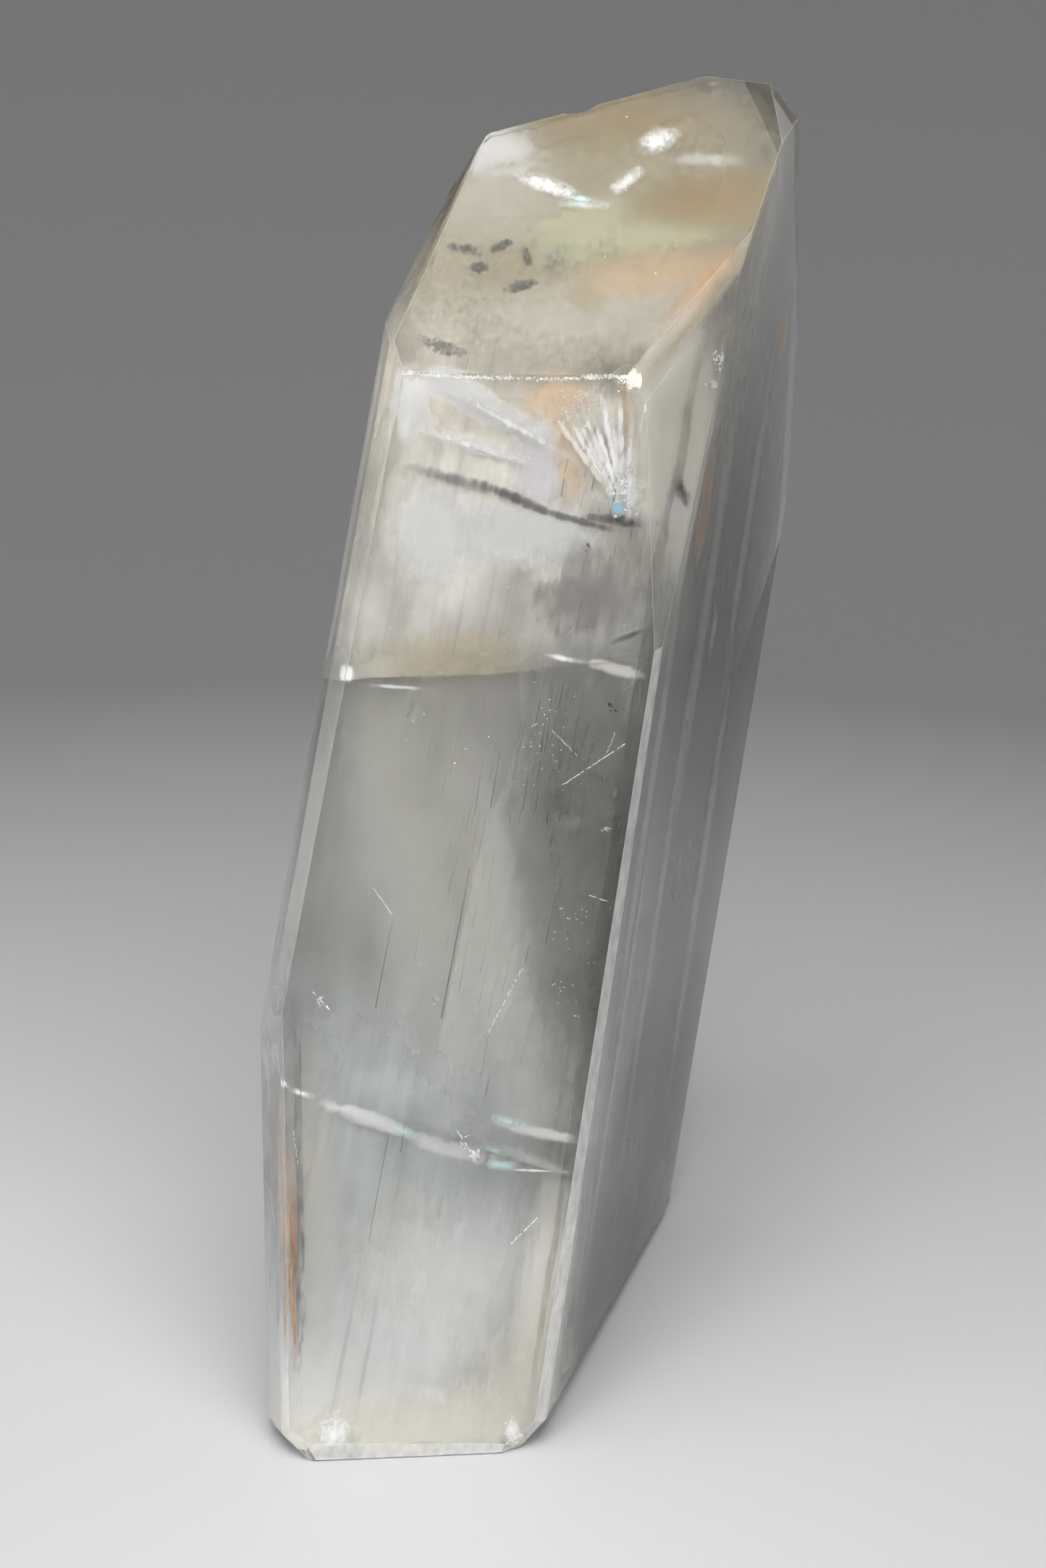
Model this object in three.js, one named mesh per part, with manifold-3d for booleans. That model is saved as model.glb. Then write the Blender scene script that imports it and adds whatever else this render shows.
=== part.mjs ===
// Optical calcite freeform: a clear calcite crystal ground and polished into a tall, leaning,
// many-faced block that stands on a sawn base.
// Units are millimetres, +Z is up, and the broad front face looks towards -Y.
import * as THREE from "three";
import { mergeVertices } from "three/addons/utils/BufferGeometryUtils.js";
import Module from "manifold-3d";

const wasm = await Module();
wasm.setup();

// Driving dimensions. Every face is ground flat at its own reach from one point inside the
// crystal, and that point sits HEIGHT_OF_CENTRE above the base.
const HEIGHT_OF_CENTRE = 90;
const ROUGH_BLOCK = 320;
const CHIP_BALL_DETAIL = 4;

// The cutting chart. Azimuth turns from +X towards +Y, and tilt lifts the face's outward
// direction above the horizon, both in degrees. Reach is in millimetres.
const BASE = { azimuth: 0, tilt: -90, reach: HEIGHT_OF_CENTRE };

const MAIN_FACES = {
  front: { azimuth: -84, tilt: 19, reach: 28 },
  right: { azimuth: -15, tilt: -3.5, reach: 23.6 },
  top: { azimuth: -80, tilt: 60.5, reach: 60 },
  upperRight: { azimuth: -38, tilt: 13.5, reach: 32.6 },
  left: { azimuth: -175.5, tilt: 12.5, reach: 34.5 },
  lowerLeft: { azimuth: -156.5, tilt: 7, reach: 46.6 },
  leftFoot: { azimuth: -176.5, tilt: 0, reach: 42 },
};

const BACK_FACES = {
  backLeft: { azimuth: 158.5, tilt: 2, reach: 24.8 },
  backUpper: { azimuth: 115, tilt: 6.5, reach: 45.8 },
  backLower: { azimuth: 92, tilt: -24, reach: 54.8 },
  backRight: { azimuth: 59.5, tilt: 17.5, reach: 90.5 },
};

const BEVELS = {
  frontLeft: { azimuth: -153.5, tilt: 19, reach: 40.3 },
  frontRight: { azimuth: -37, tilt: 5, reach: 29.6 },
  topLeft: { azimuth: -175, tilt: 39.5, reach: 59 },
  topRight: { azimuth: -49.5, tilt: 33.5, reach: 47.8 },
  topCorner: { azimuth: -19, tilt: 38, reach: 74 },
  backCorner: { azimuth: 78, tilt: 57, reach: 111.2 },
  backWaist: { azimuth: 104, tilt: -9, reach: 52.2 },
  backLeftEdge: { azimuth: 137, tilt: 4.5, reach: 36 },
  backRightEdge: { azimuth: 50, tilt: 3, reach: 82 },
};

const FOOT_BEVELS = {
  front: { azimuth: -85, tilt: -0.5, reach: 61 },
  frontLeft: { azimuth: -106.5, tilt: -11.5, reach: 86 },
  frontRight: { azimuth: -46.5, tilt: -18, reach: 68.5 },
  left: { azimuth: -176.5, tilt: -45, reach: 92 },
  leftCorner: { azimuth: -153, tilt: -38.5, reach: 101 },
  right: { azimuth: -16, tilt: -42, reach: 72 },
  backRight: { azimuth: 35, tilt: -22.5, reach: 62.8 },
  back: { azimuth: 92, tilt: -57, reach: 84.5 },
};

// Small shell-shaped chips knocked out of the edges. At is a point on an edge, measured from the
// inner point. A ball bites in there from the given direction, depth millimetres past the edge.
const CHIPS = [
  { at: [16, -5.9, 64.1], azimuth: -65, tilt: 35, radius: 4.5, depth: 1.3 },
  { at: [31.5, 10.5, 63.5], azimuth: -26, tilt: 6, radius: 5, depth: 0.55 },
  { at: [28.5, 1.3, 56.5], azimuth: -26, tilt: 6, radius: 4, depth: 0.4 },
  { at: [21, -18.2, 26], azimuth: -32, tilt: 8, radius: 6, depth: 0.5 },
  { at: [-37, -40, -24.5], azimuth: -160, tilt: 14, radius: 6, depth: 0.6 },
  { at: [-1, -60.5, -88.6], azimuth: -60, tilt: -25, radius: 5, depth: 0.8 },
  { at: [-34.5, -63, -87], azimuth: -115, tilt: -20, radius: 5, depth: 0.8 },
  { at: [8, 43.5, 92], azimuth: 105, tilt: 50, radius: 6, depth: 0.9 },
];

function outward({ azimuth, tilt }) {
  const a = THREE.MathUtils.degToRad(azimuth);
  const t = THREE.MathUtils.degToRad(tilt);
  return new THREE.Vector3(Math.cos(a) * Math.cos(t), Math.sin(a) * Math.cos(t), Math.sin(t));
}

// A three.js shape as a manifold solid, from its positions alone.
function toSolid(shape) {
  const bare = shape.clone();
  bare.deleteAttribute("normal");
  bare.deleteAttribute("uv");
  const merged = mergeVertices(bare, 1e-4);
  return new wasm.Manifold(new wasm.Mesh({
    numProp: 3,
    vertProperties: new Float32Array(merged.attributes.position.array),
    triVerts: new Uint32Array(merged.index.array),
  }));
}

function toGeometry(solid) {
  const mesh = solid.getMesh();
  const geometry = new THREE.BufferGeometry();
  geometry.setAttribute("position", new THREE.BufferAttribute(new Float32Array(mesh.vertProperties), 3));
  geometry.setIndex(new THREE.BufferAttribute(new Uint32Array(mesh.triVerts), 1));
  return geometry;
}

// Everything beyond one face of the chart, as a big box turned to face outwards.
function wasteBeyond(face) {
  const box = new THREE.BoxGeometry(ROUGH_BLOCK * 2, ROUGH_BLOCK * 2, ROUGH_BLOCK);
  box.translate(0, 0, face.reach + ROUGH_BLOCK / 2);
  const turn = new THREE.Quaternion().setFromUnitVectors(new THREE.Vector3(0, 0, 1), outward(face));
  box.applyQuaternion(turn);
  return toSolid(box);
}

function grind(solid, faces) {
  let result = solid;
  for (const face of faces) {
    result = result.subtract(wasteBeyond(face));
  }
  return result;
}

function chipBall({ at, azimuth, tilt, radius, depth }) {
  const centre = outward({ azimuth, tilt }).multiplyScalar(radius - depth);
  centre.add(new THREE.Vector3(...at));
  const ball = new THREE.IcosahedronGeometry(radius, CHIP_BALL_DETAIL);
  ball.translate(centre.x, centre.y, centre.z);
  return toSolid(ball);
}

function knockOff(solid, chips) {
  let result = solid;
  for (const chip of chips) {
    result = result.subtract(chipBall(chip));
  }
  return result;
}

function crystalGeometry() {
  const rough = toSolid(new THREE.BoxGeometry(ROUGH_BLOCK, ROUGH_BLOCK, ROUGH_BLOCK));
  const faces = [BASE];
  for (const part of [MAIN_FACES, BACK_FACES, BEVELS, FOOT_BEVELS]) {
    faces.push(...Object.values(part));
  }
  const polished = grind(rough, faces);
  return toGeometry(knockOff(polished, CHIPS));
}

// The origin is the middle of the outline seen from above, on the surface it stands on.
function standOnOrigin(geometry) {
  geometry.computeBoundingBox();
  const middle = geometry.boundingBox.getCenter(new THREE.Vector3());
  return geometry.translate(-middle.x, -middle.y, HEIGHT_OF_CENTRE);
}

const polishedCalcite = new THREE.MeshStandardMaterial({
  color: 0xc9c6ba,
  roughness: 0.08,
  metalness: 0,
  transparent: true,
  opacity: 0.6,
  flatShading: true,
});

const calcite = new THREE.Mesh(standOnOrigin(crystalGeometry()), polishedCalcite);
calcite.name = "calcite";

const group = new THREE.Group();
group.add(calcite);

export default group;
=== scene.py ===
import math
import random

import bmesh
import bpy
from mathutils import Euler, Matrix, Vector, noise


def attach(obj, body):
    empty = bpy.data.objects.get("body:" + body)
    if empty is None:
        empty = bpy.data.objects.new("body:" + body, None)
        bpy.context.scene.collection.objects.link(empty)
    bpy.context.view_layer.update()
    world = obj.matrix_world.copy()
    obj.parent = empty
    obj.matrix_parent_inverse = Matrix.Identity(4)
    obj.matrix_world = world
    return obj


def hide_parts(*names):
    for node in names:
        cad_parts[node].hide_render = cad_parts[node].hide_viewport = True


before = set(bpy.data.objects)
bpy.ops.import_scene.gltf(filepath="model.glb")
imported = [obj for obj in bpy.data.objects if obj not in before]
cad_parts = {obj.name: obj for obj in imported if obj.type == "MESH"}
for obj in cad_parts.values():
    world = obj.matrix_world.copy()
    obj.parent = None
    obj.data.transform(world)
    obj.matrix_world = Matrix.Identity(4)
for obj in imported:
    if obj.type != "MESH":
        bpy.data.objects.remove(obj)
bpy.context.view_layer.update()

# The optical calcite freeform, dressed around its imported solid.
# Blender works in metres. Places and sizes below are in millimetres unless they say otherwise,
# and MM turns them into metres, here or where they are used.
MM = 0.001

# The view: a long lens that looks down on the front face.
IMAGE_HEIGHT = 2167
FOCAL_PIXELS = 7500
SENSOR_HEIGHT = 24
CAMERA_PLACE = Vector((-2.2, -791.4, 403.9)) * MM
CAMERA_DROP = math.radians(22)
CLIP_END = 20

# Outward direction of each ground face that inner features are placed from:
# azimuth from +X towards +Y, and tilt above the horizon, in degrees.
FACES = {
    "front": (-84, 19),
    "top": (-80, 60.5),
    "right": (-15, -3.5),
    "upper_right": (-38, 13.5),
    "lower_left": (-156.5, 7),
    "top_right": (-49.5, 33.5),
    "front_right": (-37, 5),
    "foot_front": (-85, -0.5),
    "foot_front_left": (-106.5, -11.5),
    "foot_front_right": (-46.5, -18),
}
# Two directions are the same when their dot product is past this.
SAME_FACE = 0.99999
# The crystal grew along this line, and its streaks follow it.
GROWTH = Vector((0.186, 0.338, 0.923)).normalized()

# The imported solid's loose triangles are joined across MERGE_GAP, and flattened into whole faces.
MERGE_GAP = 0.005 * MM
FLAT_ANGLE = math.radians(0.3)
# Edges sharper than SHARP_ANGLE get a fine rounding, and facets under CHIP_FACET are part of a
# chip, which is shaded smooth.
BEVEL_WIDTH = 0.3 * MM
SHARP_ANGLE = math.radians(9)
CHIP_FACET = 2.5 * MM * MM
# How soft the finish of each ground face is, from 0 for a mirror polish.
POLISHED = 0.02
BACK_FINISH = 0.2
EDGE_FINISH = 0.4
SAWN_FINISH = 0.5
# The base looks down past SAWN_NORMAL, the back looks along +Y past BACK_NORMAL, and the edges
# that face forwards of WORN_NORMAL are worn.
SAWN_NORMAL = -0.95
BACK_NORMAL = 0.1
WORN_NORMAL = 0.3
# A sheet inside the crystal is a closed film of this thickness. It stays SKIN inside the large
# faces, and a growth layer stays LAYER_SKIN inside them.
FILM = 0.04 * MM
FEWEST_CELLS = 12
SKIN = 0.15 * MM
LAYER_SKIN = 0.7 * MM
LARGE_FACE = 12 * MM * MM
CUT_PRECISION = 1e-7
# Each sheet waves in its own way, by its seed.
SEED_STEP = 7.3
CRACK_SEED = 100
FAN_SEED = 200

# Milky growth layers: the face they lie behind, and how far behind it each one begins and
# ends. They are cut from a wide block.
HAZE_LAYERS = [("front", 4, 18), ("front", 29, 46)]
HAZE_BLOCK = 400
# The haze's cover, before its texture, and its colour, by the share of HAZE_HEIGHT.
HAZE_HEIGHT = 186 * MM
HAZE_COVER = [
    (0.0, 0.76), (0.12, 0.62), (0.24, 0.38), (0.36, 0.18),
    (0.50, 0.15), (0.60, 0.21), (0.74, 0.36), (0.86, 0.36),
]
HAZE_TONES = [
    (0.0, (0.80, 0.77, 0.69)), (0.06, (0.77, 0.78, 0.78)), (0.18, (0.58, 0.60, 0.61)),
    (0.45, (0.70, 0.72, 0.72)), (0.62, (0.82, 0.80, 0.75)), (0.82, (0.84, 0.80, 0.71)),
]
# Towards the right face the haze clears over this range to a small share of its cover. Above
# the upper crack it thickens, and it ends over this range of depths below the top face.
CLEARING = (-2 * MM, 12 * MM)
CLEAREST = 0.06
ABOVE_CRACK = 1.8
CRACK_BLEND = 5 * MM
HAZE_END = (12 * MM, 2 * MM)

# The edges were ground, not polished, so a crushed line lies this deep along them.
WEAR_DEPTH = 0.06 * MM
WORN_BEVELS = ["front_right", "foot_front", "foot_front_left", "foot_front_right"]

TINTS = {
    # The next tint is crisp white: crushed spots at the foot, and painted glints everywhere else.
    "frost": (0.97, 0.97, 0.96),
    "white": (0.995, 0.99, 0.98),
    "cream": (0.985, 0.955, 0.875),
    "honey": (0.60, 0.50, 0.30),
    "milk": (0.80, 0.775, 0.71),
    "peach": (0.93, 0.68, 0.45),
    "amber": (0.50, 0.38, 0.215),
    "lime": (0.74, 0.74, 0.54),
    "beige": (0.56, 0.505, 0.365),
    "lavender": (0.965, 0.95, 0.975),
    # The next two tints are painted glints: the play of colour off the cracks.
    "cyan": (0.72, 0.92, 0.92),
    "blue": (0.40, 0.72, 0.86),
    # The next two tints are dark films, mostly painted shade and painted dark reflections.
    "smoke_and_painted_shade": (0.16, 0.155, 0.15),
    "dusk_and_painted_shade": (0.30, 0.29, 0.28),
    # The next tint paints shade along the dark bent line.
    "line": (0.13, 0.125, 0.12),
    "leaf": (0.16, 0.155, 0.15),
    # The next tint is painted shade and painted dark reflections behind the right face.
    "shade": (0.05, 0.055, 0.06),
    "stain": (0.66, 0.40, 0.23),
}

# How torn a film of these tints is. A film of any other tint is torn by its size.
RAGGED = {"leaf": 0.8, "shade": 0.15, "smoke_and_painted_shade": 0.15, "dusk_and_painted_shade": 0.6}

# A soft tint is laid in films no denser than this, this many millimetres apart.
SOFT_TINTS = [
    "white", "cream", "milk", "peach", "lavender", "lime", "amber", "beige", "honey", "dusk_and_painted_shade"
]
THIN_COVER = 0.24
LAYER_STEP = 0.12
LAYER_SEED = 0.15
# A film has two walls, which count for this many because they fade, and a cover of 1 is
# reached as nearly as FULL_COVER allows.
WALLS = 1.6
FULL_COVER = 1.02
# A small film is more torn than a large one, and a tiny one has a crisper rim.
SMALL_FILM = 36
SMALL_TEARS = 0.35
LARGE_TEARS = 0.2
TINY_FILM = 4
TINY_RIM = 0.7

# Healed fractures and clouds, with films of painted shade, painted dark reflections and painted
# glints: the face they lie behind, their place behind its middle (across, up, depth), their width
# and height, their roll, tint and cover.
CLOUDS_AND_PAINTED_LIGHT = [
    # Under the front face's upper edge and in its upper right corner. The crisp white films and
    # the blue one here are painted glints.
    ("front", (1, 78.6, 3.5), (18, 5), -10, "white", 0.9),
    ("front", (8, 74.4, 3.5), (30, 6), -31, "white", 1.0),
    ("front", (12, 71, 3.5), (24, 3), -29, "white", 0.8),
    ("front", (5, 69.6, 3.5), (26, 4), -20, "white", 0.7),
    ("front", (9, 73.4, 2.8), (26, 2.2), -31, "frost", 0.55),
    ("front", (6, 69, 2.8), (24, 1.6), -20, "frost", 0.45),
    ("front", (-5, 76, 3.5), (7, 14), -6, "white", 0.9),
    ("front", (13.5, 66.6, 3.5), (12, 18), 6, "lavender", 0.9),
    ("front", (17, 76.4, 3.5), (14, 9), 0, "peach", 0.45),
    ("front", (18.5, 68, 3.5), (7, 18), 8, "peach", 0.45),
    ("front", (28.5, 74, 3.5), (6, 16), 4, "peach", 0.6),
    ("front", (24.5, 68.6, 3.5), (16, 24), 20, "cream", 0.95),
    ("front", (27.3, 62.2, 2.2), (8, 10), 0, "frost", 1.0),
    ("front", (25.6, 59.6, 1.5), (3, 3), 0, "blue", 0.5),
    # The bent line of painted shade, the bright patch below it, and a film of painted shade beside
    # that.
    ("front", (1, 64.8, 3.2), (20, 2.6), -18, "line", 0.35),
    ("front", (10, 61.8, 3.1), (20, 2.2), -25, "line", 0.6),
    ("front", (19, 58.2, 3.0), (18, 1.6), -18, "line", 0.6),
    ("front", (26, 57.8, 3), (14, 2.2), -8, "line", 0.8),
    ("front", (12.5, 57.2, 3.5), (28, 11), -12, "white", 1.0),
    ("front", (10, 55.6, 3.5), (26, 12), -8, "white", 1.0),
    ("front", (-2, 57.5, 3.5), (20, 24), 0, "white", 0.8),
    ("front", (21, 47, 3.5), (26, 20), 0, "dusk_and_painted_shade", 0.5),
    # Along the upper crack, where the cyan films and the crisp white ones are painted glints.
    ("front", (4, 46.8, 6), (4.5, 2.2), 0, "white", 0.8),
    ("front", (-5, 47, 8), (7, 2.5), 0, "cyan", 0.3),
    ("front", (0.5, 39.6, 6), (5, 1), -14, "cyan", 0.8),
    ("front", (-1, 38, 3.6), (38, 12), 0, "honey", 0.3),
    ("front", (26.5, 40.2, 2), (8, 1.2), 20, "smoke_and_painted_shade", 0.8),
    ("front", (-16.4, 36.2, 2), (3, 3.4), 0, "frost", 0.9),
    ("front", (-9, 33.9, 1), (11, 0.9), -6, "frost", 0.6),
    ("front", (16.3, 37.3, 0.8), (8, 1.3), -14, "frost", 0.9),
    ("front", (24.3, 35.4, 0.8), (12, 2.4), -16, "cream", 0.8),
    # Milky veils and pale streaks in the right-hand half, and dark films over it that are painted
    # shade.
    ("front", (-7, 6, 3.5), (22, 84), 10, "milk", 0.19),
    ("front", (4, 0, 3.6), (14, 96), 10, "milk", 0.18),
    ("front", (12, 2, 13), (30, 110), 10, "dusk_and_painted_shade", 0.24),
    ("front", (21, 2, 13), (32, 110), 8, "smoke_and_painted_shade", 0.85),
    # Behind the right face: dark films of painted shade and painted dark reflections, and pale
    # streaks.
    ("right", (8, 5, 3), (140, 190), -20, "smoke_and_painted_shade", 0.7),
    ("right", (-15, -66, 2.8), (150, 130), -20, "smoke_and_painted_shade", 0.7),
    ("right", (-24, -42, 2.2), (44, 20), 31, "shade", 0.6),
    ("right", (0, -52, 2.2), (56, 44), 20, "shade", 0.55),
    ("right", (-30, -74, 2.2), (80, 46), -10, "shade", 0.65),
    ("right", (22, 5, 3), (12, 90), -20, "smoke_and_painted_shade", 0.5),
    ("right", (14, -20, 1.6), (8, 100), -20, "white", 0.3),
    ("right", (-30, 10, 1.6), (7, 110), -20, "white", 0.3),
    ("right", (2, 30, 1.6), (9, 100), -20, "white", 0.35),
    ("right", (-16, -10, 1.8), (6, 120), -20, "white", 0.25),
    ("right", (28, 30, 1.6), (8, 80), -20, "white", 0.3),
    ("right", (-40, -30, 1.8), (5, 90), -20, "white", 0.3),
    ("front", (14, 27, 5), (3.4, 14), 6, "dusk_and_painted_shade", 0.35),
    ("front", (17, 12, 6), (9, 3), 4, "dusk_and_painted_shade", 0.3),
    # Along the lower crack, where the cyan films and the crisp white ones are painted glints.
    ("front", (-28.6, -25, 1), (4, 1.4), -40, "frost", 0.8),
    ("front", (-25.4, -27, 1), (5, 1.6), -18, "frost", 0.8),
    ("front", (-18.6, -30.1, 2), (8, 1.5), -18, "white", 0.8),
    ("front", (-15.5, -31.4, 2.5), (18, 3.2), -21, "white", 0.8),
    ("front", (-10.5, -33.6, 3), (7, 2.6), -20, "cyan", 0.6),
    ("front", (-3, -36.6, 3.6), (18, 3.6), -18, "lavender", 0.85),
    ("front", (4.3, -39.4, 3.6), (7, 2), -8, "cyan", 0.6),
    ("front", (6, -33.2, 8), (7, 2.2), -16, "cyan", 0.6),
    ("front", (11, -35.2, 8), (18, 2.2), -14, "white", 0.8),
    ("front", (9.7, -40.4, 1), (13, 0.6), -5, "frost", 0.6),
    # The milky foot, the stains behind the lower left face, and a film of painted shade behind
    # that face.
    ("front", (-22.5, -79, 1), (7, 6), 0, "frost", 0.9),
    ("front", (4.7, -80, 1), (3, 6), 0, "frost", 0.9),
    ("front", (10.5, -59, 3.5), (11, 50), -10, "cream", 0.7),
    ("front", (5, -73, 3.5), (22, 22), -30, "milk", 0.5),
    ("front", (-8, -80, 3.5), (60, 18), 3, "cream", 0.5),
    ("front", (-4, -57, 3.5), (44, 32), 28, "white", 0.35),
    ("front", (-12, -52, 3.5), (20, 30), -20, "milk", 0.35),
    ("front", (-24.5, -38, 6), (3, 24), 4, "peach", 0.2),
    ("front", (-25, -44, 3), (14, 60), 0, "milk", 0.3),
    ("lower_left", (3.2, 0, 1.5), (5, 30), 20, "stain", 0.5),
    ("lower_left", (7, -10, 1.2), (3.4, 30), 20, "stain", 0.7),
    ("lower_left", (-3.4, 11, 1.5), (3, 22), 20, "stain", 0.4),
    ("lower_left", (-2, 0, 2.5), (24, 110), 10, "dusk_and_painted_shade", 0.45),
    # Under the top face and the bevel beside it; its crisp white arcs and cyan spot are painted
    # glints.
    ("top", (13, 18.7, 0.8), (10, 6), 30, "frost", 0.8),
    ("top", (-6, 10, 0.8), (17, 5), -35, "frost", 0.75),
    ("top", (-1.5, 6.7, 0.7), (5, 2), -15, "cyan", 0.7),
    ("top", (6.5, 10, 0.8), (11, 3.4), 42, "frost", 0.7),
    ("top", (-19.3, -6.7, 1.2), (4.4, 3.4), 0, "leaf", 1.0),
    ("top", (-20.5, -2.6, 1.2), (8, 2.6), -20, "leaf", 0.9),
    ("top", (-15.3, -2.3, 1.2), (6, 2.4), 30, "leaf", 0.8),
    ("top", (-6.4, -4, 1.2), (4.2, 11), -32, "leaf", 0.95),
    ("top", (-11.5, -4.7, 1.2), (2.4, 6), 0, "leaf", 0.85),
    ("top", (-13.4, -10.8, 1.2), (8, 3), 20, "leaf", 0.75),
    ("top", (-27, -22.4, 2), (13, 4), -25, "leaf", 0.7),
    ("top", (-1, 5.4, 0.8), (12, 3.2), -8, "frost", 0.4),
    ("top", (-13, 19, 1.0), (20, 18), 0, "white", 0.4),
    ("top", (20, 14, 1.0), (16, 4), -4, "white", 0.24),
    ("top", (8, -10, 1.1), (46, 14), 8, "peach", 0.22),
    ("top", (8, 24, 1.1), (56, 22), -6, "amber", 0.3),
    ("top", (20, 5, 1.1), (40, 18), 4, "amber", 0.4),
    ("top", (-2, 0, 1.2), (30, 16), 30, "lime", 0.5),
    ("top", (14, 0, 1.2), (40, 12), 12, "lime", 0.45),
    ("top", (-4, -18, 1.3), (60, 26), 0, "milk", 0.35),
    ("top", (-14, 8, 1.3), (34, 30), 30, "milk", 0.35),
    ("top", (0, 4, 1.5), (96, 84), 0, "beige", 0.7),
    ("top", (21.5, 32, 2), (8, 3), 0, "white", 0.5),
    ("top_right", (1, 2, 1), (40, 6), 32, "peach", 0.4),
    # Behind the right-hand faces.
    ("right", (45, 60, 1.5), (12, 10), 0, "peach", 0.6),
    ("right", (8, 21, 1.5), (5, 11), -20, "cream", 0.9),
    ("upper_right", (-1, -6.6, 0.9), (3.6, 6), 20, "leaf", 0.8),
    ("upper_right", (-3.9, -8, 1.2), (8, 12), 0, "white", 0.5),
    ("upper_right", (0, 6, 1.6), (34, 70), 0, "cream", 0.9),
    ("upper_right", (2, -18, 2.2), (20, 40), 0, "white", 0.4),
    ("right", (-6, 47, 1), (9, 22), -20, "peach", 0.95),
]

# Open cleavage cracks: middle from the scene's origin, azimuth and tilt of the plane in
# degrees, size, and cover.
CRACKS = [
    {"middle": (-6, -2, 105.5), "azimuth": 100, "tilt": 73, "size": (95, 80), "cover": 0.8},
    {"middle": (-12, -38, 43.5), "azimuth": 32, "tilt": 69, "size": (62, 34), "cover": 0.8},
]

# A fan of crushed fibres behind the front face: its foot, and each ray's roll with its jitter
# in degrees, its length and width, and its tint and cover.
FAN_FOOT = (26.5, 59, 2.2)
FAN_RAYS = 11
FAN_ROLLS = (-14, 34)
FAN_JITTER = 1.5
FAN_LENGTHS = (15, 21)
FAN_RAY_WIDTH = 1.5
FAN_TINTS = ["white", "cream", "lavender", "white", "peach"]
FAN_COVERS = (0.5, 0.95)

# Bundles of dark fibres behind the front face: place, spread, how many, and their length.
FIBRES = [
    {"at": (4, 10, 12), "spread": (9, 42, 11), "count": 60, "length": (2, 9)},
    {"at": (15, 22, 5), "spread": (4, 14, 4), "count": 60, "length": (1.5, 6)},
    {"at": (22, 64, 3), "spread": (5, 12, 2), "count": 50, "length": (0.8, 3)},
    {"at": (-12, -34, 8), "spread": (12, 20, 6), "count": 16, "length": (2, 8)},
]
# Single long fibres: place and length.
LONG_FIBRES = [
    ((-1.3, -5.5, 3), 23), ((-12.2, -8, 4), 14), ((15.4, 20, 3), 10), ((-14.2, -42, 4), 17),
    ((3.2, 10, 4), 7),
]
# A fibre's radius, how far it leans in radians, and the least depth of one.
FIBRE_THICKNESS = (0.03, 0.08)
LONG_FIBRE_THICKNESS = 0.07
FIBRE_JITTER = 0.03
LEAST_DEPTH = 0.6

# Crushed white spots: face, place, spread, how many shards, and their size.
BRUISES = [
    ("front", (27.0, 79.2, 0.9), (1.2, 1.2, 0.5), 60, 0.4),
    ("front", (-23, -79, 1.2), (2.6, 2.4, 0.8), 90, 0.35),
    ("front", (4.7, -80.5, 1.2), (1.2, 2.0, 0.8), 40, 0.5),
    ("front", (0.4, -37.7, 1), (0.7, 0.7, 0.4), 30, 0.8),
    ("front", (-1.2, -35.6, 1), (0.9, 1.2, 0.3), 12, 0.4),
    ("front", (-22.2, -13.0, 1), (0.6, 1.0, 0.3), 14, 0.6),
    ("front", (-4.7, -13.6, 1), (0.3, 0.6, 0.2), 6, 0.5),
    ("front", (22, 11.1, 0.8), (0.9, 0.3, 0.2), 12, 0.35),
    ("front", (20, 76, 2), (3.4, 2.4, 1), 50, 0.4),
    ("front", (0, 50, 6), (17, 26, 5), 70, 0.3),
    ("top", (0, 0, 3), (20, 30, 2), 60, 0.35),
    ("front", (27.5, 62, 1.5), (2.4, 2.6, 0.8), 60, 0.6),
    ("front", (17, -8, 3), (5, 14, 2), 40, 0.25),
    ("front", (14, 24, 2), (5, 9, 1.5), 40, 0.25),
    ("upper_right", (14, 10.5, 1), (2.0, 1.8, 0.5), 60, 0.8),
    ("upper_right", (11, 7.4, 1), (1.0, 0.8, 0.3), 24, 0.7),
]
# The least depth of a shard, and how far it stays inside every large face.
BRUISE_DEPTH = 0.7
BRUISE_SKIN = 0.6 * MM

# Fine white hairlines just under a face: from, to, and their thickness.
HAIRLINES = [
    ("front", (25.3, 23.9), (15.5, 18.0), 0.10),
    ("front", (9.9, -47.3), (5.1, -51.7), 0.14),
    ("front", (19.0, 1.3), (22.1, 0.1), 0.08),
    ("front", (8.7, -9.2), (2.9, -19.4), 0.05),
    ("front", (14.3, 26.5), (18.2, 22.3), 0.06),
    ("front", (24.0, 25.9), (22.6, 22.7), 0.06),
    ("front", (0.3, -37.7), (-2.3, -33.5), 0.10),
    ("front", (-13.6, 3.8), (-11.0, -0.3), 0.05),
    ("front", (-27.0, -32.4), (-26.4, -37.9), 0.05),
    ("front", (-23.2, -11.7), (-20.8, -14.5), 0.16),
    ("lower_left", (-7.2, 26.1), (-3.6, 21.6), 0.06),
    ("lower_left", (-3.6, 3.7), (0.3, -1.8), 0.06),
]
# A hairline is a row of short splinters, this deep and this long, in millimetres.
HAIRLINE_DEPTH = 0.5
HAIRLINE_STEP = 0.9
# The crushed line along the front face's upper edge: its course, its depth and spread, its
# shards to the millimetre and their size.
EDGE_LINE = [(-6.3, 81.0), (2.8, 80.1), (15.9, 79.4), (27.8, 79.5)]
EDGE_DEPTH = 0.75
EDGE_SPREAD = 0.12
EDGE_SHARDS = 11
EDGE_SHARD_SIZE = (0.3, 0.6)
# Dark grains: place and size.
GRAINS = [((20.9, 53.8, 2), 0.5), ((24, 29.4, 2), 0.7), ((24.6, 29.9, 2), 0.4)]
SHARDS_IN_GRAIN = 4
GRAIN_SPREAD = 0.3

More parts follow.
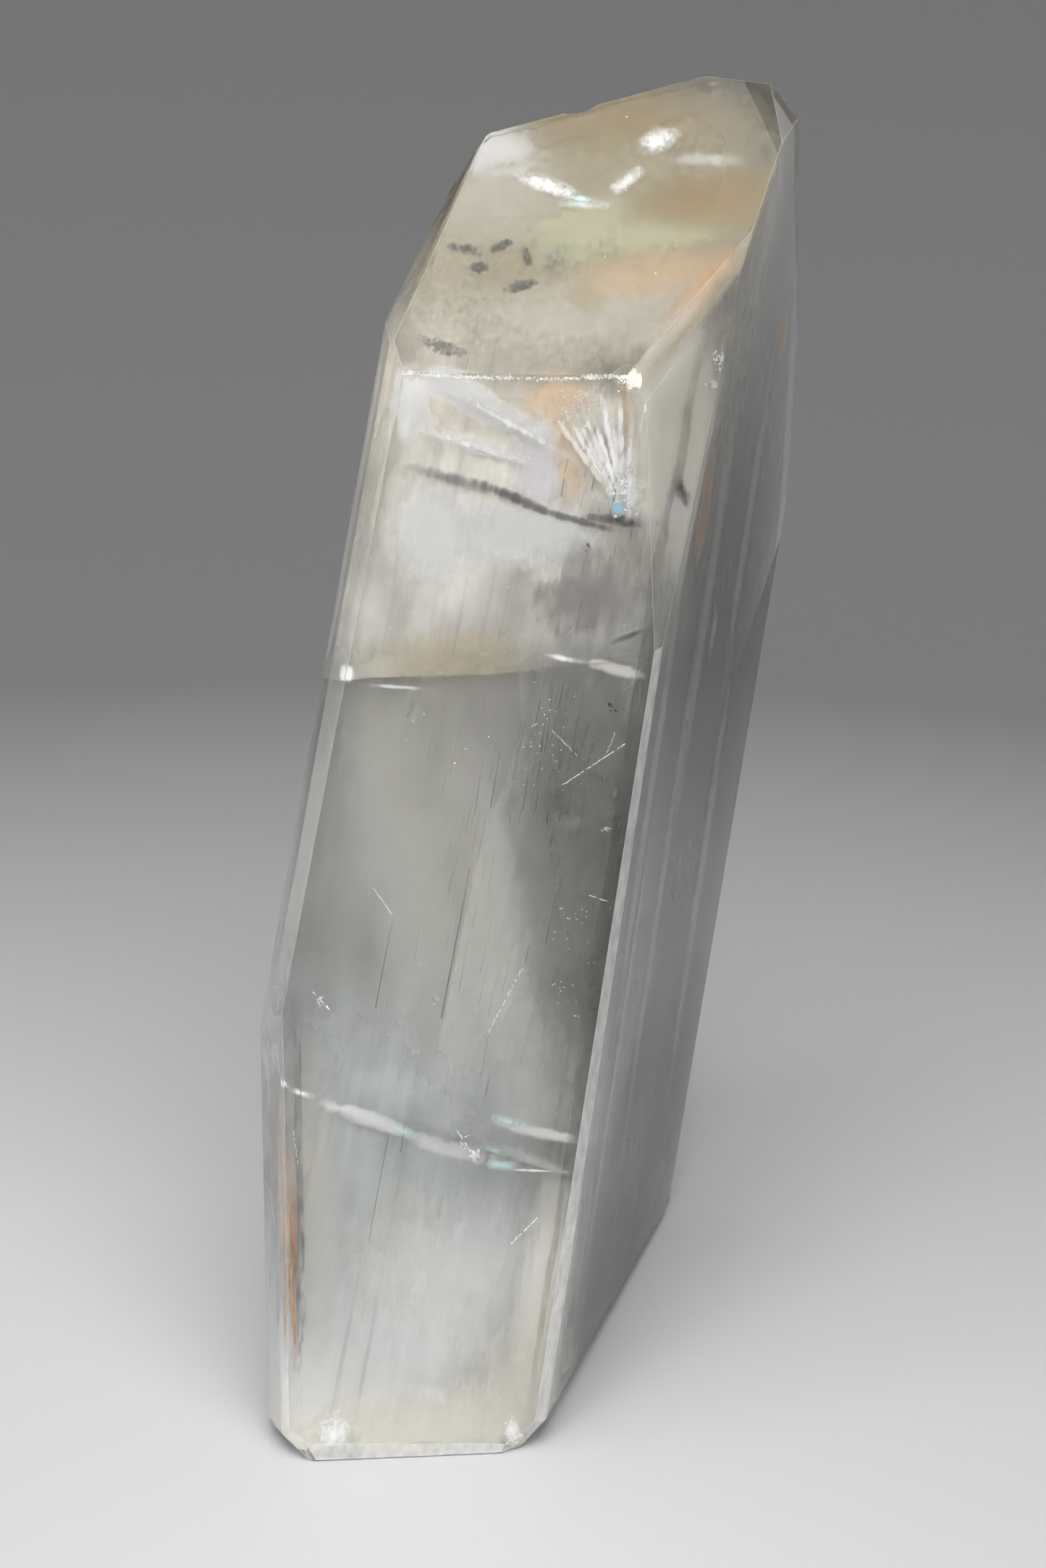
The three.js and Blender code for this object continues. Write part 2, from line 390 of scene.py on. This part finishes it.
# The floor lies a hair below the crystal. Its colour carries a painted pool of light in front of
# it, and painted shade that darkens from there. FLOOR_SIZE and FLOOR_REACH are in metres.
FOOT_AIR_GAP = 0.2 * MM
FLOOR_SIZE = 3
FLOOR_REACH = 1.2
PAINTED_LIGHT_POOL = Vector((-30, -140, 0)) * MM
PAINTED_FLOOR_LIGHT = [
    (0.0, (0.27, 0.27, 0.272)), (0.14, (0.22, 0.22, 0.222)), (0.34, (0.060, 0.060, 0.061)),
    (1.0, (0.046, 0.046, 0.047)),
]
# The dim sky by height, and the soft lights: azimuth, elevation and half-width in degrees, and
# strength. Each one is at its strongest inside LIGHT_CORE of its half-width.
SKY = [(0.0, (0.010, 0.012, 0.016)), (0.8, (0.15, 0.15, 0.148))]
SOFT_LIGHTS = [(-85, 62, 35, 10.6), (-150, 48, 34, 2.8), (165, 40, 28, 2)]
LIGHT_CORE = 0.6


def keep(obj):
    """Puts a new object into the scene."""
    bpy.context.scene.collection.objects.link(obj)
    return obj


def mesh_object(name, bm, material):
    """Turns a finished bmesh into an object of the scene."""
    mesh = bpy.data.meshes.new(name)
    bm.to_mesh(mesh)
    bm.free()
    mesh.materials.append(material)
    return keep(bpy.data.objects.new(name, mesh))


def direction(azimuth, tilt):
    """The unit direction at an azimuth and a tilt in degrees."""
    a = math.radians(azimuth)
    t = math.radians(tilt)
    return Vector((math.cos(a) * math.cos(t), math.sin(a) * math.cos(t), math.sin(t)))


def face_place(name):
    """A ground face's own frame: X across it, Y up it, Z out of it, from its middle."""
    outward = direction(*FACES[name])
    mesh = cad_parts["calcite"].data
    parts = [p for p in mesh.polygons if p.normal.dot(outward) > SAME_FACE]
    area = sum(p.area for p in parts)
    middle = sum((p.center * p.area for p in parts), Vector()) / area
    across = Vector((0, 0, 1)).cross(outward).normalized()
    turn = Matrix((across, outward.cross(across), outward)).transposed().to_4x4()
    return Matrix.Translation(middle) @ turn


def add_camera():
    """A long lens in front of the crystal, looking down on it."""
    lens = bpy.data.cameras.new("camera")
    lens.sensor_fit = "VERTICAL"
    lens.sensor_height = SENSOR_HEIGHT
    lens.lens = FOCAL_PIXELS / IMAGE_HEIGHT * SENSOR_HEIGHT
    lens.clip_end = CLIP_END
    camera = keep(bpy.data.objects.new("camera", lens))
    camera.location = CAMERA_PLACE
    camera.rotation_euler = (math.radians(90) - CAMERA_DROP, 0, 0)
    bpy.context.scene.camera = camera


# Materials.

# The Mix node's colour sockets.
MIX_A = 6
MIX_B = 7
MIX_RESULT = 2


class Finish:
    """The nodes of a material or of the sky, and short ways to add to them."""

    def __init__(self, owner, shader="Principled BSDF"):
        owner.use_nodes = True
        self.nodes = owner.node_tree.nodes
        self.links = owner.node_tree.links
        self.surface = self.nodes[shader]
        self.owner = owner

    def put(self, socket, value):
        """Sets a socket of the shader to a plain value, or links it to an output."""
        if isinstance(value, (int, float, tuple)):
            self.surface.inputs[socket].default_value = value
        else:
            self.links.new(value, self.surface.inputs[socket])

    def attribute(self, name, output="Fac"):
        node = self.nodes.new("ShaderNodeAttribute")
        node.attribute_name = name
        return node.outputs[output]

    def combined(self, operation, *values):
        """Joins outputs and numbers with Math nodes, from left to right."""
        result = values[0]
        for value in values[1:]:
            node = self.nodes.new("ShaderNodeMath")
            node.operation = operation
            for socket, part in zip(node.inputs, (result, value)):
                if isinstance(part, (int, float)):
                    socket.default_value = part
                else:
                    self.links.new(part, socket)
            result = node.outputs["Value"]
        return result

    def band(self, value, low, high, out_low=0.0, out_high=1.0, smooth=False):
        """Stretches the range from low to high over the range from out_low to out_high."""
        node = self.nodes.new("ShaderNodeMapRange")
        node.interpolation_type = "SMOOTHSTEP" if smooth else "LINEAR"
        self.links.new(value, node.inputs["Value"])
        node.inputs["From Min"].default_value = low
        node.inputs["From Max"].default_value = high
        node.inputs["To Min"].default_value = out_low
        node.inputs["To Max"].default_value = out_high
        return node.outputs["Result"]

    def ramp(self, value, stops):
        """Colours, or greys, by the place of a value between 0 and 1."""
        node = self.nodes.new("ShaderNodeValToRGB")
        elements = node.color_ramp.elements
        while len(elements) < len(stops):
            elements.new(0.5)
        for element, (place, color) in zip(elements, stops):
            element.position = place
            element.color = (*color, 1) if isinstance(color, tuple) else (color,) * 3 + (1,)
        self.links.new(value, node.inputs["Fac"])
        return node.outputs["Color"]

    def mixed(self, blend_type, a, b):
        node = self.nodes.new("ShaderNodeMix")
        node.data_type = "RGBA"
        node.blend_type = blend_type
        node.inputs["Factor"].default_value = 1
        self.links.new(a, node.inputs[MIX_A])
        self.links.new(b, node.inputs[MIX_B])
        return node.outputs[MIX_RESULT]

    def place(self, coordinates="Object"):
        return self.nodes.new("ShaderNodeTexCoord").outputs[coordinates]

    def vector_math(self, operation, a, b):
        node = self.nodes.new("ShaderNodeVectorMath")
        node.operation = operation
        self.links.new(a, node.inputs[0])
        node.inputs[1].default_value = b
        return node

    def height(self, place):
        split = self.nodes.new("ShaderNodeSeparateXYZ")
        self.links.new(place, split.inputs["Vector"])
        return split.outputs["Z"]

    def along(self, line):
        """How far each point lies along a line, in metres."""
        return self.vector_math("DOT_PRODUCT", self.place(), line).outputs["Value"]

    def grown_noise(self, width, length, detail=3, offset=0):
        """Noise whose blots are width across and length along the growth line, in metres."""
        turn = self.nodes.new("ShaderNodeMapping")
        turn.inputs["Rotation"].default_value = GROWTH.rotation_difference(
            Vector((0, 0, 1))
        ).to_euler()
        turn.inputs["Location"].default_value = (offset, 0, 0)
        self.links.new(self.place(), turn.inputs["Vector"])
        stretch = (1 / width, 1 / width, 1 / length)
        stretched = self.vector_math("MULTIPLY", turn.outputs["Vector"], stretch)
        blots = self.nodes.new("ShaderNodeTexNoise")
        blots.inputs["Scale"].default_value = 1
        blots.inputs["Detail"].default_value = detail
        self.links.new(stretched.outputs["Vector"], blots.inputs["Vector"])
        return blots.outputs["Fac"]


def clear_calcite():
    """See-through calcite, whose finish each face carries as its own softness."""
    finish = Finish(bpy.data.materials.new("clear_calcite"))
    finish.put("Base Color", (1, 1, 1, 1))
    finish.put("IOR", 1.6)
    finish.put("Transmission Weight", 1)
    finish.put("Roughness", finish.attribute("softness"))
    tint = finish.nodes.new("ShaderNodeVolumeAbsorption")
    tint.inputs["Color"].default_value = (0.91, 0.89, 0.72, 1)
    tint.inputs["Density"].default_value = 4
    finish.links.new(tint.outputs["Volume"], finish.nodes["Material Output"].inputs["Volume"])
    return finish.owner


def haze_texture(finish, streaks, height):
    """Broad bands, fine streaks and clouds, which smooth out at the foot and under the top."""
    bands = finish.grown_noise(0.008, 0.30, detail=0, offset=0.3)
    clouds = finish.grown_noise(0.011, 0.018, detail=4, offset=0.6)
    texture = finish.combined(
        "ADD",
        finish.band(bands, 0.3, 0.7, 0.1, 0.9),
        finish.band(streaks, 0.35, 0.7, -0.05, 0.12),
        finish.band(clouds, 0.35, 0.75, 0, 1.0),
    )
    smooth = finish.combined(
        "MAXIMUM",
        finish.band(height, 0.10, 0.32, 0.85, 0.0),
        finish.band(height, 0.80, 0.88, 0.0, 0.7),
    )
    textured = finish.combined("MULTIPLY", texture, finish.combined("SUBTRACT", 1, smooth))
    return finish.combined("ADD", textured, smooth)


def haze_clearing(finish):
    """Where the haze thins out or thickens: to the right, at the upper crack, under the top."""
    rightward = finish.along(direction(*FACES["right"]))
    upper = CRACKS[0]
    normal = direction(upper["azimuth"], upper["tilt"])
    crack = normal.dot(Vector(upper["middle"]) * MM)
    upward = direction(*FACES["top"])
    top = face_place("top").translation.dot(upward)
    starts, ends = HAZE_END
    return finish.combined(
        "MULTIPLY",
        finish.band(rightward, *CLEARING, 1.0, CLEAREST),
        finish.band(finish.along(normal), crack, crack + CRACK_BLEND, 1.0, ABOVE_CRACK),
        finish.band(finish.along(upward), top - starts, top - ends, 1, 0),
    )


def growth_haze():
    """Milky growth layers: soft bands along the crystal, clouded, thicker at foot and top."""
    finish = Finish(bpy.data.materials.new("growth_haze"))
    streaks = finish.grown_noise(0.0018, 0.07, detail=3)
    height = finish.band(finish.height(finish.place()), 0, HAZE_HEIGHT)
    finish.put("Alpha", finish.combined(
        "MULTIPLY", finish.ramp(height, HAZE_COVER), haze_texture(finish, streaks, height),
        haze_clearing(finish)
    ))
    shade = finish.ramp(streaks, [(0.28, 0.78), (0.38, 0.97), (0.7, 1.0)])
    finish.put("Base Color", finish.mixed("MULTIPLY", finish.ramp(height, HAZE_TONES), shade))
    finish.put("Roughness", 0.7)
    return finish.owner


def tinted_film():
    """A tinted film, broken into wisps where its cover is thin: healed fracture, painted shade or
    glint.
    """
    finish = Finish(bpy.data.materials.new("tinted_film"))
    streaks = finish.grown_noise(0.0006, 0.008, detail=2, offset=0.9)
    wisps = finish.grown_noise(0.0016, 0.0032, detail=5, offset=1.3)
    tears = finish.combined(
        "ADD",
        finish.band(wisps, 0.3, 0.7, -0.6, 0.45),
        finish.band(streaks, 0.3, 0.7, -0.3, 0.2),
    )
    fade = finish.attribute("fade")
    tears = finish.combined("MULTIPLY", tears, finish.attribute("ragged"))
    torn = finish.combined("ADD", fade, tears)
    finish.put("Base Color", finish.attribute("tint", "Color"))
    finish.put("Alpha", finish.combined(
        "MULTIPLY", finish.band(torn, 0, 0.9, smooth=True), finish.attribute("cover"),
        finish.band(fade, 0, 0.25)
    ))
    finish.put("Roughness", 0.5)
    return finish.owner


def crack_film():
    """An open crack: it mirrors what grazes it, in patches, with a faint play of colour."""
    finish = Finish(bpy.data.materials.new("crack_film"))
    patches = finish.grown_noise(0.012, 0.020, detail=3, offset=1.7)
    facing = finish.nodes.new("ShaderNodeLayerWeight").outputs["Facing"]
    finish.put("Alpha", finish.combined(
        "MULTIPLY",
        finish.band(facing, 0.15, 0.6, 0.08, 1.0),
        finish.band(patches, 0.38, 0.62, 0.25, 1.0),
        finish.band(finish.attribute("fade"), 0, 1),
        finish.attribute("cover"),
    ))
    hue = finish.grown_noise(0.004, 0.006, detail=1, offset=2.3)
    finish.put("Base Color", finish.ramp(hue, [
        (0.35, (0.95, 0.86, 0.93)), (0.45, (0.97, 0.96, 0.94)), (0.55, (0.97, 0.96, 0.94)),
        (0.62, (0.72, 0.93, 0.93)), (0.70, (0.95, 0.90, 0.65)),
    ]))
    finish.put("Metallic", 1)
    finish.put("Roughness", 0.12)
    return finish.owner


def worn_calcite():
    """Ground, unpolished calcite: a thin white bloom, broken along the edges."""
    finish = Finish(bpy.data.materials.new("worn_calcite"))
    blots = finish.grown_noise(0.0012, 0.003, detail=3, offset=5.3)
    finish.put("Alpha", finish.band(blots, 0.3, 0.7, 0.32, 0.48))
    finish.put("Base Color", (0.98, 0.98, 0.97, 1))
    finish.put("Roughness", 0.6)
    return finish.owner


def dark_mineral():
    """Dark brown fibres and grains, a little mottled."""
    finish = Finish(bpy.data.materials.new("dark_mineral"))
    blots = finish.grown_noise(0.0008, 0.003, detail=2, offset=3.1)
    finish.put("Base Color", finish.ramp(blots, [
        (0.35, (0.02, 0.015, 0.012)), (0.65, (0.12, 0.10, 0.08)),
    ]))
    finish.put("Roughness", 0.6)
    return finish.owner


def crushed_calcite():
    """White crushed calcite, which sparkles a little."""
    finish = Finish(bpy.data.materials.new("crushed_calcite"))
    blots = finish.grown_noise(0.0006, 0.0008, detail=2, offset=4.7)
    finish.put("Base Color", finish.ramp(blots, [
        (0.35, (0.85, 0.85, 0.84)), (0.65, (0.98, 0.98, 0.98)),
    ]))
    finish.put("Roughness", 0.35)
    return finish.owner


# The crystal itself.

def cleaned_calcite():
    """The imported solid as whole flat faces."""
    bm = bmesh.new()
    bm.from_mesh(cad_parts["calcite"].data)
    bmesh.ops.remove_doubles(bm, verts=bm.verts, dist=MERGE_GAP)
    bmesh.ops.dissolve_limit(bm, angle_limit=FLAT_ANGLE, verts=bm.verts, edges=bm.edges)
    return bm


def worn_edges(crystal_bm, strips):
    """Crushed lines under the ground edges, and under the bevels that were never polished."""
    worn = {f.index for f in strips}
    for name in WORN_BEVELS:
        outward = direction(*FACES[name])
        worn |= {f.index for f in crystal_bm.faces if f.normal.dot(outward) > SAME_FACE}
    bm = crystal_bm.copy()
    bm.faces.ensure_lookup_table()
    smooth = [f for f in bm.faces if f.index not in worn]
    bmesh.ops.delete(bm, geom=smooth, context="FACES")
    bm.normal_update()
    for vert in bm.verts:
        vert.co -= vert.normal * WEAR_DEPTH
    bmesh.ops.solidify(bm, geom=bm.faces[:], thickness=FILM)
    place_piece("worn_edges", bm, worn_calcite())


def face_finish(face):
    """The sawn base is soft, the back is ground, and the front and sides are polished."""
    if face.normal.z < SAWN_NORMAL:
        return SAWN_FINISH
    if face.normal.y > BACK_NORMAL:
        return BACK_FINISH
    return POLISHED


def crystal():
    """The clear body, with finely rounded edges and a finish for each face."""
    bm = cleaned_calcite()
    softness = bm.faces.layers.float.new("softness")
    for face in bm.faces:
        face.smooth = face.calc_area() < CHIP_FACET
    edges = [
        e for e in bm.edges
        if e.calc_face_angle(0) > SHARP_ANGLE and not all(f.smooth for f in e.link_faces)
    ]
    rounded = bmesh.ops.bevel(
        bm, geom=edges, offset=BEVEL_WIDTH, segments=2, profile=0.5,
        affect="EDGES", clamp_overlap=True, material=-1
    )["faces"]
    for edge in bm.edges:
        edge.smooth = all(f.smooth for f in edge.link_faces)
    for face in bm.faces:
        face[softness] = face_finish(face)
    for face in rounded:
        face[softness] = EDGE_FINISH
    worn_edges(bm, [f for f in rounded if f.normal.y < WORN_NORMAL])
    bmesh.ops.triangulate(bm, faces=bm.faces)
    piece = mesh_object("polished_crystal", bm, clear_calcite())
    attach(piece, "root")
    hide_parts("calcite")


# Sheets inside the crystal.

def cutting_planes():
    """A point and an outward direction for each large face of the crystal."""
    bm = cleaned_calcite()
    planes = [
        (f.calc_center_median(), f.normal.copy()) for f in bm.faces
        if f.calc_area() > LARGE_FACE
    ]
    bm.free()
    return planes


PLANES = cutting_planes()


def trim_to_crystal(bm):
    """Cuts away what reaches the crystal's skin or beyond."""
    for point, outward in PLANES:
        bmesh.ops.bisect_plane(
            bm, geom=bm.verts[:] + bm.edges[:] + bm.faces[:], dist=CUT_PRECISION,
            plane_co=point - outward * SKIN, plane_no=outward, clear_outer=True
        )


def sheet(place, size, wave=0.4, wavelength=10, cell=2.5, tint=(1, 1, 1), cover=1.0,
          ragged=1.0, rim=0.6, seed=0):
    """A wavy closed film, width by height millimetres, whose cover fades towards its rim."""
    width, height = size
    bm = bmesh.new()
    bmesh.ops.create_grid(
        bm, x_segments=max(FEWEST_CELLS, round(width / cell)),
        y_segments=max(FEWEST_CELLS, round(height / cell)), size=1
    )
    tints = bm.verts.layers.float_color.new("tint")
    covers = bm.verts.layers.float.new("cover")
    fades = bm.verts.layers.float.new("fade")
    tears = bm.verts.layers.float.new("ragged")
    for vert in bm.verts:
        x, y, _ = vert.co
        vert[tints] = (*tint, 1)
        vert[covers] = cover
        vert[tears] = ragged
        vert[fades] = min(1, (1 - math.hypot(x, y)) / rim)
        across = x * width / 2
        up = y * height / 2
        swell = noise.noise(Vector((across, up, seed * SEED_STEP)) / wavelength)
        vert.co = Vector((across, up, wave * swell)) * MM
    bare = [f for f in bm.faces if all(v[fades] <= 0 for v in f.verts)]
    bmesh.ops.delete(bm, geom=bare, context="FACES")
    bmesh.ops.transform(bm, verts=bm.verts, matrix=place)
    trim_to_crystal(bm)
    bmesh.ops.solidify(bm, geom=bm.faces[:], thickness=FILM)
    return bm


def behind(face, at, roll=0):
    """The place at (across, up, depth) millimetres behind a face, rolled within it."""
    across, up, depth = at
    shift = Matrix.Translation(Vector((across, up, -depth)) * MM)
    return face_place(face) @ shift @ Matrix.Rotation(math.radians(roll), 4, "Z")


def add_part(whole, part):
    """Copies a finished bmesh into a larger one, and frees it."""
    mesh = bpy.data.meshes.new("part")
    part.to_mesh(mesh)
    part.free()
    whole.from_mesh(mesh)
    bpy.data.meshes.remove(mesh)


def joined(sheets):
    """One bmesh from several sheets, with their attributes."""
    whole = bmesh.new()
    whole.verts.layers.float_color.new("tint")
    for name in ["cover", "fade", "ragged"]:
        whole.verts.layers.float.new(name)
    for part in sheets:
        add_part(whole, part)
    return whole


def place_piece(name, bm, material):
    piece = mesh_object(name, bm, material)
    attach(piece, "root")


def layers_of(tint, cover):
    """How many films a cloud takes, and the cover of each one."""
    if tint not in SOFT_TINTS or cover <= THIN_COVER:
        return 1, cover
    count = math.log(FULL_COVER - cover) / math.log(1 - THIN_COVER) / WALLS
    return math.ceil(count), THIN_COVER


def healed_fractures_and_painted_light():
    """Each cloud or painted shade or glint is a crisp film, or a stack of thin ones for a soft
    tint.
    """
    parts = []
    for seed, (face, (across, up, depth), size, roll, tint, cover) in enumerate(CLOUDS_AND_PAINTED_LIGHT):
        layers, film_cover = layers_of(tint, cover)
        torn = SMALL_TEARS if max(size) < SMALL_FILM else LARGE_TEARS
        for layer in range(layers):
            parts.append(sheet(
                behind(face, (across, up, depth + layer * LAYER_STEP), roll), size,
                tint=TINTS[tint], cover=film_cover, ragged=RAGGED.get(tint, torn),
                rim=TINY_RIM if max(size) < TINY_FILM else 1, seed=seed + layer * LAYER_SEED
            ))
    place_piece("healed_fractures_and_painted_light", joined(parts), tinted_film())


def fibre_fan():
    """The fan of crushed fibres near the front face's upper right corner."""
    rng = random.Random(21)
    parts = []
    for ray in range(FAN_RAYS):
        share = ray / (FAN_RAYS - 1)
        roll = FAN_ROLLS[0] + share * (FAN_ROLLS[1] - FAN_ROLLS[0]) + rng.gauss(0, FAN_JITTER)
        length = rng.uniform(*FAN_LENGTHS)
        place = behind("front", FAN_FOOT, roll) @ Matrix.Translation((0, length * MM / 2, 0))
        tint = TINTS[rng.choice(FAN_TINTS)]
        parts.append(sheet(
            place, (FAN_RAY_WIDTH, length), wave=0.8, wavelength=9, tint=tint,
            cover=rng.uniform(*FAN_COVERS), ragged=0.8, rim=0.7, seed=FAN_SEED + ray
        ))
    place_piece("fibre_fan", joined(parts), tinted_film())


def cleavage_cracks():
    """Two large open cracks across the crystal."""
    parts = []
    for seed, crack in enumerate(CRACKS):
        outward = direction(crack["azimuth"], crack["tilt"])
        place = Matrix.Translation(Vector(crack["middle"]) * MM)
        place = place @ outward.to_track_quat("Z", "Y").to_matrix().to_4x4()
        parts.append(sheet(
            place, crack["size"], wave=2.0, wavelength=26, cell=1.6,
            cover=crack["cover"], rim=0.3, seed=CRACK_SEED + seed
        ))
    place_piece("cleavage_cracks", joined(parts), crack_film())


def fibre(bm, place, length, thickness, jitter):
    """One dark fibre along the growth line."""
    lean = GROWTH.to_track_quat("Z", "Y") @ Euler(jitter).to_quaternion()
    bmesh.ops.create_cone(
        bm, cap_ends=True, segments=4, radius1=thickness * MM, radius2=thickness * 0.5 * MM,
        depth=length * MM, matrix=Matrix.Translation(place) @ lean.to_matrix().to_4x4()
    )


def fibres():
    """Bundles of dark fibres and a few long ones, all along the growth line."""
    rng = random.Random(11)
    bm = bmesh.new()
    front = face_place("front")
    for bundle in FIBRES:
        for _ in range(bundle["count"]):
            at = [m + rng.gauss(0, 0.5) * r for m, r in zip(bundle["at"], bundle["spread"])]
            place = front @ (Vector((at[0], at[1], -max(at[2], LEAST_DEPTH))) * MM)
            jitter = (rng.gauss(0, FIBRE_JITTER), rng.gauss(0, FIBRE_JITTER), 0)
            length = rng.uniform(*bundle["length"])
            fibre(bm, place, length, rng.uniform(*FIBRE_THICKNESS), jitter)
    for at, length in LONG_FIBRES:
        place = front @ (Vector((at[0], at[1], -at[2])) * MM)
        fibre(bm, place, length, LONG_FIBRE_THICKNESS, (0, 0, 0))
    place_piece("dark_fibres", bm, dark_mineral())


def shard(bm, place, size, rng):
    """A small flat splinter of crushed stone, turned at random."""
    turn = Euler([rng.uniform(0, math.tau) for _ in range(3)]).to_matrix().to_4x4()
    flat = Matrix.Diagonal((1, rng.uniform(0.4, 1), rng.uniform(0.15, 0.4), 1))
    bmesh.ops.create_icosphere(
        bm, subdivisions=1, radius=size / 2 * MM,
        matrix=Matrix.Translation(place) @ turn @ flat
    )


def bruises():
    """Spots of crushed white stone, kept clear of the crystal's skin."""
    rng = random.Random(5)
    bm = bmesh.new()
    for face, at, spread, count, size in BRUISES:
        place = face_place(face)
        for _ in range(count):
            spot = [m + rng.gauss(0, 0.5) * r for m, r in zip(at, spread)]
            point = place @ (Vector((spot[0], spot[1], -max(spot[2], BRUISE_DEPTH))) * MM)
            if all((point - p).dot(n) < -BRUISE_SKIN for p, n in PLANES):
                shard(bm, point, size * rng.uniform(0.5, 1.2), rng)
    place_piece("crushed_spots", bm, crushed_calcite())


def hairline(bm, start, end, thickness, rng):
    """One fine crack: a row of short splinters that lean a little off its line."""
    steps = max(2, round((end - start).length / MM / HAIRLINE_STEP))
    for step in range(steps):
        middle = start.lerp(end, (step + rng.uniform(0.2, 0.8)) / steps)
        lean = (end - start).to_track_quat("Z", "Y") @ Euler(
            (rng.gauss(0, 0.15), rng.gauss(0, 0.15), 0)
        ).to_quaternion()
        bmesh.ops.create_cone(
            bm, cap_ends=True, segments=3, radius1=thickness * MM, radius2=thickness / 3 * MM,
            depth=rng.uniform(0.5, 1.1) * HAIRLINE_STEP * MM,
            matrix=Matrix.Translation(middle) @ lean.to_matrix().to_4x4()
        )


def crushed_edge(bm, rng):
    """The crushed line along the front face's upper edge."""
    front = face_place("front")
    for start, end in zip(EDGE_LINE, EDGE_LINE[1:]):
        count = round((Vector(end) - Vector(start)).length * EDGE_SHARDS)
        for _ in range(count):
            across, up = Vector(start).lerp(Vector(end), rng.random())
            spot = (across, up + rng.gauss(0, EDGE_SPREAD), -EDGE_DEPTH)
            shard(bm, front @ (Vector(spot) * MM), rng.uniform(*EDGE_SHARD_SIZE), rng)


def hairlines():
    """Fine cracks that show as thin white lines, and the crushed line along one edge."""
    rng = random.Random(8)
    bm = bmesh.new()
    for face, start, end, thickness in HAIRLINES:
        place = face_place(face)
        a = place @ (Vector((*start, -HAIRLINE_DEPTH)) * MM)
        b = place @ (Vector((*end, -HAIRLINE_DEPTH)) * MM)
        hairline(bm, a, b, thickness, rng)
    crushed_edge(bm, rng)
    place_piece("hairline_cracks", bm, crushed_calcite())


def grains():
    """A few dark grains, each a small cluster of shards."""
    rng = random.Random(3)
    bm = bmesh.new()
    front = face_place("front")
    for at, size in GRAINS:
        for _ in range(SHARDS_IN_GRAIN):
            spot = [m + rng.gauss(0, GRAIN_SPREAD) for m in at]
            shard(bm, front @ (Vector((spot[0], spot[1], -spot[2])) * MM), size, rng)
    place_piece("dark_grains", bm, dark_mineral())


def growth_layer(face, near, far):
    """A closed slab of the crystal, from near to far millimetres behind one of its faces."""
    bm = bmesh.new()
    bmesh.ops.create_cube(bm, size=1)
    place = face_place(face)
    bmesh.ops.scale(bm, verts=bm.verts, vec=Vector((HAZE_BLOCK, HAZE_BLOCK, far - near)) * MM)
    bmesh.ops.translate(bm, verts=bm.verts, vec=(0, 0, -(near + far) / 2 * MM))
    bmesh.ops.transform(bm, verts=bm.verts, matrix=place)
    for point, outward in PLANES:
        cut = bmesh.ops.bisect_plane(
            bm, geom=bm.verts[:] + bm.edges[:] + bm.faces[:], dist=CUT_PRECISION,
            plane_co=point - outward * LAYER_SKIN, plane_no=outward, clear_outer=True
        )["geom_cut"]
        rim = [part for part in cut if isinstance(part, bmesh.types.BMEdge)]
        if rim:
            bmesh.ops.contextual_create(bm, geom=rim)
    bmesh.ops.recalc_face_normals(bm, faces=bm.faces)
    return bm


def haze():
    """The growth layers together, as one piece."""
    whole = bmesh.new()
    for face, near, far in HAZE_LAYERS:
        add_part(whole, growth_layer(face, near, far))
    place_piece("growth_haze_veils", whole, growth_haze())


def add_floor():
    """A pale floor with a painted pool of light, falling off into painted shade towards the
    backdrop.
    """
    bm = bmesh.new()
    bmesh.ops.create_grid(bm, x_segments=1, y_segments=1, size=FLOOR_SIZE)
    bmesh.ops.translate(bm, verts=bm.verts, vec=(0, 0, -FOOT_AIR_GAP))
    finish = Finish(bpy.data.materials.new("floor"))
    away = finish.vector_math("DISTANCE", finish.place(), PAINTED_LIGHT_POOL).outputs["Value"]
    reach = finish.band(away, 0, FLOOR_REACH)
    finish.put("Base Color", finish.ramp(reach, PAINTED_FLOOR_LIGHT))
    finish.put("Roughness", 0.6)
    mesh_object("floor", bm, finish.owner)


def add_light():
    """A dim studio with broad, soft-edged lights, painted on the sky all round."""
    world = bpy.data.worlds.new("studio")
    bpy.context.scene.world = world
    sky = Finish(world, shader="Background")
    world.cycles.sampling_method = "NONE"
    place = sky.place("Generated")
    light = sky.ramp(sky.height(place), SKY)
    for azimuth, elevation, half_width, strength in SOFT_LIGHTS:
        toward = sky.vector_math("DOT_PRODUCT", place, direction(azimuth, elevation))
        rim = math.cos(math.radians(half_width))
        core = math.cos(math.radians(half_width * LIGHT_CORE))
        glow = sky.band(toward.outputs["Value"], rim, core, 0, strength, smooth=True)
        light = sky.mixed("ADD", light, glow)
    sky.put("Color", light)


def set_tone():
    """Plain tone mapping, which keeps the crystal's pale colours clean."""
    bpy.context.scene.view_settings.view_transform = "Standard"


def deepen_light_paths():
    """Light passes many thin films and walls on its way through the crystal."""
    cycles = bpy.context.scene.cycles
    cycles.max_bounces = 24
    cycles.glossy_bounces = 16
    cycles.transmission_bounces = 24
    cycles.transparent_max_bounces = 160
    cycles.sample_clamp_indirect = 10


add_camera()
crystal()
haze()
healed_fractures_and_painted_light()
fibre_fan()
cleavage_cracks()
fibres()
bruises()
hairlines()
grains()
add_floor()
add_light()
deepen_light_paths()
set_tone()
